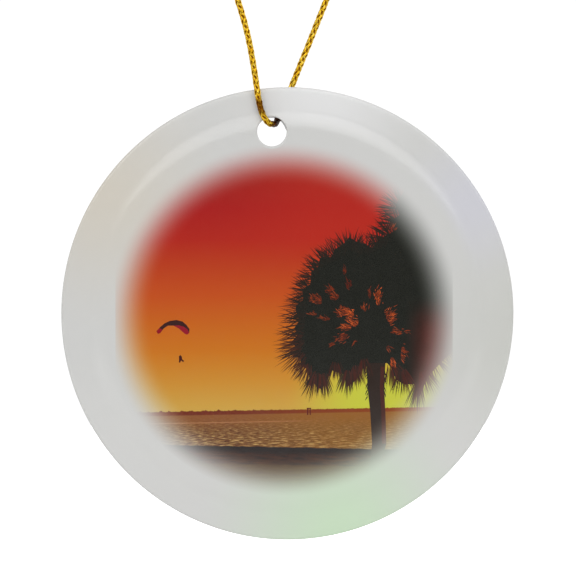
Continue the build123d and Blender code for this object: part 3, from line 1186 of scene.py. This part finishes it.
def film_y(x, z):
    """The film's front: it thins out gently towards its edge."""
    share = np.clip(from_film_edge(x, z) / FILM_TAPER, 0, 1)
    rise = share ** 2 * (3 - 2 * share)
    return FRONT - FILM_LIFT - (FRONT - FILM_LIFT - FILM_FRONT) * rise


def counter_clockwise(shape):
    x, z = np.asarray(shape, float).T
    area = np.sum(x * np.roll(z, -1) - np.roll(x, -1) * z)
    return np.asarray(shape, float)[::1 if area > 0 else -1]


def within_film(points):
    """The points, with those beyond the film's edge brought just inside it."""
    away = np.hypot(*points.T)
    return points * np.minimum(1, (FILM_RADIUS - 0.1) / np.maximum(away, 1e-6))[:, None]


def taper_points():
    """Rings of points where the film thins out, along its rim and its bite."""
    steps = np.linspace(0.3, FILM_TAPER, 7)
    rings = [ring(FILM_RADIUS - inward, 180) for inward in steps]
    rings += [ring(FILM_NOTCH + inward, 72, (HOLE_X, HOLE_Z)) for inward in steps]
    points = np.concatenate(rings)
    return points[from_film_edge(*points.T) > 0.15]


def lay_inks(mesh, inks, inks_on_face):
    """Gives each face the colour and cover of the inks on it, which lie over each other in order."""
    count = len(mesh.polygons)
    cover, plain, colour = np.zeros(count), np.zeros(count), np.zeros((count, 3))
    for face, on_face in enumerate(inks_on_face):
        for index in sorted(on_face):
            _, shade, share, plain[face] = inks[index]
            under = cover[face] * (1 - share)
            cover[face] = share + under
            colour[face] = (share * np.array(inked(*shade)[:3]) + under * colour[face]) / cover[face]
    for name, kind, field, values in (
        ("ink_cover", "FLOAT", "value", cover),
        ("ink_plain", "FLOAT", "value", plain),
        ("ink_colour", "FLOAT_VECTOR", "vector", colour.ravel()),
    ):
        mesh.attributes.new(name, kind, "FACE").data.foreach_set(field, values)


def make_film(material):
    """The printed film: its front is divided along the palm and glider, whose faces hold their ink."""
    inks = [(*ink, 0.0) for ink in palm_inks()]
    inks += [(*ink, 1.0) for ink in gap_inks()]
    inks += [(shape, colour, 1.0, 1.0) for shape, colour in SMALL_SHAPES]
    outline = film_outline()
    count = len(outline)
    shapes = [within_film(counter_clockwise(ink[0])) for ink in inks]
    outlines, first = [], count
    for shape in shapes:
        outlines.append(list(range(first, first + len(shape))))
        first += len(shape)
    points = np.concatenate([outline, *shapes, taper_points()])
    flat, triangles, middles, inside = triangulated(points, closed_edges(count), outlines)
    kept = np.flatnonzero(from_hole(*middles.T) > FILM_NOTCH)

    front = (stood_up(flat, film_y(*flat.T)), [tuple(triangles[index]) for index in kept])
    edge_points, edge_faces = banded([stood_up(outline, y) for y in (FRONT - FILM_LIFT, FRONT - 0.001)])
    back = tuple(range(count, 2 * count))
    piece = mesh_from_parts("picture", [front, (edge_points, [*edge_faces, back])], [material])
    lay_inks(piece.data, inks, [inside[index] for index in kept])
    weld(piece)
    forward = [(0.0, -1.0, 0.0)] * len(piece.data.vertices)
    piece.data.normals_split_custom_set_from_vertices(forward)
    return piece


porcelain = make_disc(porcelain_material())
picture = make_film(picture_material())
for piece, node, slot in ((porcelain, "porcelain_disc", "porcelain"), (picture, "picture_film", "picture")):
    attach(piece, "disc")
    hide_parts(node)


# ================================================================ stage and light

FLOOR_Z = -150.0
FLOOR_SIZE = 700.0
# Panels of light: name, place, width and height in millimetres, and power in watts.
PANELS = [
    ("wide_panel", (0, -850, 436), 1500, 800, 7.2),
    ("back_panel", (250, 850, 300), 1200, 700, 3.5),
]


def seen_brighter(nodes, shaded, seen):
    """A strength that is higher where the camera looks straight at it."""
    rays = nodes.add("ShaderNodeLightPath")
    difference = nodes.minus(seen, shaded)
    return nodes.scaled(rays.outputs["Is Camera Ray"], difference, shaded)


def make_floor():
    """A pale floor under the hanging ornament."""
    floor = mesh_from(
        "floor",
        [(x * FLOOR_SIZE, y * FLOOR_SIZE, FLOOR_Z) for x, y in ((-1, -1), (1, -1), (1, 1), (-1, 1))],
        [(0, 1, 2, 3)],
    )
    material, nodes, shader = new_material("floor")
    nodes.fill(shader, {
        "Base Color": (0.85, 0.85, 0.85, 1),
        "Roughness": 0.9,
        "Emission Color": (1, 1, 1, 1),
        "Emission Strength": seen_brighter(nodes, 0.1, 0.8),
    })
    floor.data.materials.append(material)


def make_surround():
    """An even white surround that is dim behind the camera, so that shiny parts keep their contrast."""
    world = bpy.data.worlds.new("surround")
    bpy.context.scene.world = world
    world.use_nodes = True
    nodes = Nodes(world.node_tree)
    coordinates = nodes.add("ShaderNodeTexCoord")
    split = nodes.add("ShaderNodeSeparateXYZ")
    nodes.put(split.inputs[0], coordinates.outputs["Generated"])
    shaded = nodes.scaled(nodes.smooth(split.outputs["Y"], -0.95, -0.3), 0.55, 0.08)
    background = world.node_tree.nodes["Background"]
    nodes.fill(background, {"Color": (1, 1, 1, 1), "Strength": seen_brighter(nodes, shaded, 1.05)})


def area_light(name, place, width, height, power):
    """A soft panel of light that faces the disc."""
    data = bpy.data.lights.new(name, "AREA")
    data.shape = "RECTANGLE"
    data.size = width * MM
    data.size_y = height * MM
    data.energy = power
    lamp = new_object(name, data)
    lamp.location = Vector(place) * MM
    lamp.rotation_euler = (Vector((0, 0, DISC_Z)) - Vector(place)).to_track_quat("-Z", "Y").to_euler()


make_floor()
make_surround()
for panel in PANELS:
    area_light(*panel)
bpy.context.scene.view_settings.view_transform = "Standard"
